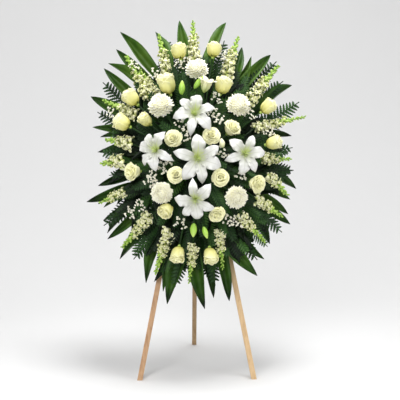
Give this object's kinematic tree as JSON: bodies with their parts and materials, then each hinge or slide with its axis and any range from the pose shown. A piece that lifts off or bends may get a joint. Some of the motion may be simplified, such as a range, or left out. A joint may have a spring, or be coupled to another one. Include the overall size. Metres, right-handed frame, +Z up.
{
  "type": "standing funeral wreath on an easel",
  "caption": "Oval funeral spray of lilies, roses, chrysanthemums and snapdragons on a folding wooden tripod easel.",
  "frame": {"origin": "middle of the object's box, on the floor under it", "axes": "+Z up; the flowers face -Y; +X is to the right of someone who looks at the flowers"},
  "size_m": [0.83, 0.6706, 1.361],
  "materials": {
    "wood": "satin",
    "zinc_steel": "satin",
    "tray_plastic": "satin",
    "tie_plastic": "satin",
    "foam": "matte",
    "leaf": "satin",
    "fern": "matte",
    "rose_petal": "matte",
    "chrysanthemum_petal": "matte",
    "lily_petal": "satin",
    "snapdragon_floret": "matte"
  },
  "bodies": {
    "spray_and_front_frame": {"leg_left": "wood", "leg_right": "wood", "stop_bar": "wood", "tray_bar": "wood", "pivot_bolt": "zinc_steel", "wing_nut": "zinc_steel", "washer_left": "zinc_steel", "washer_right": "zinc_steel", "stop_bar_screw_left": "zinc_steel", "stop_bar_screw_right": "zinc_steel", "tray_bar_screw_left": "zinc_steel", "tray_bar_screw_right": "zinc_steel", "foam_block": "foam", "foam_tray": "tray_plastic", "foam_tape": "tray_plastic", "tie_left": "tie_plastic", "tie_right": "tie_plastic", "rose_01": "rose_petal", "rose_02": "rose_petal", "rose_03": "rose_petal", "rose_04": "rose_petal", "rose_05": "rose_petal", "rose_06": "rose_petal", "rose_07": "rose_petal", "rose_08": "rose_petal", "rose_09": "rose_petal", "rose_10": "rose_petal", "rose_11": "rose_petal", "rose_12": "rose_petal", "rose_13": "rose_petal", "rose_14": "rose_petal", "rose_15": "rose_petal", "rose_16": "rose_petal", "rose_17": "rose_petal", "rose_18": "rose_petal", "rose_19": "rose_petal", "rose_20": "rose_petal", "chrysanthemum_1": "chrysanthemum_petal", "chrysanthemum_2": "chrysanthemum_petal", "chrysanthemum_3": "chrysanthemum_petal", "chrysanthemum_4": "chrysanthemum_petal", "chrysanthemum_5": "chrysanthemum_petal", "lily_top": "lily_petal", "lily_middle": "lily_petal", "lily_left": "lily_petal", "lily_right": "lily_petal", "lily_bottom": "lily_petal", "snapdragons_top": "snapdragon_floret", "leaves_top": "leaf", "ferns_top": "fern", "snapdragons_right": "snapdragon_floret", "leaves_right": "leaf", "ferns_right": "fern", "snapdragons_bottom": "snapdragon_floret", "leaves_bottom": "leaf", "ferns_bottom": "fern", "snapdragons_left": "snapdragon_floret", "leaves_left": "leaf", "ferns_left": "fern"},
    "back_leg": {"leg_back": "wood"}
  },
  "joints": [
    {"name": "back_leg_fold", "type": "hinge", "parent": "spray_and_front_frame", "child": "back_leg", "pos_m": [0, -0.00145, 0.97], "axis": [1, 0, 0], "range_deg": [-27, 0]}
  ]
}
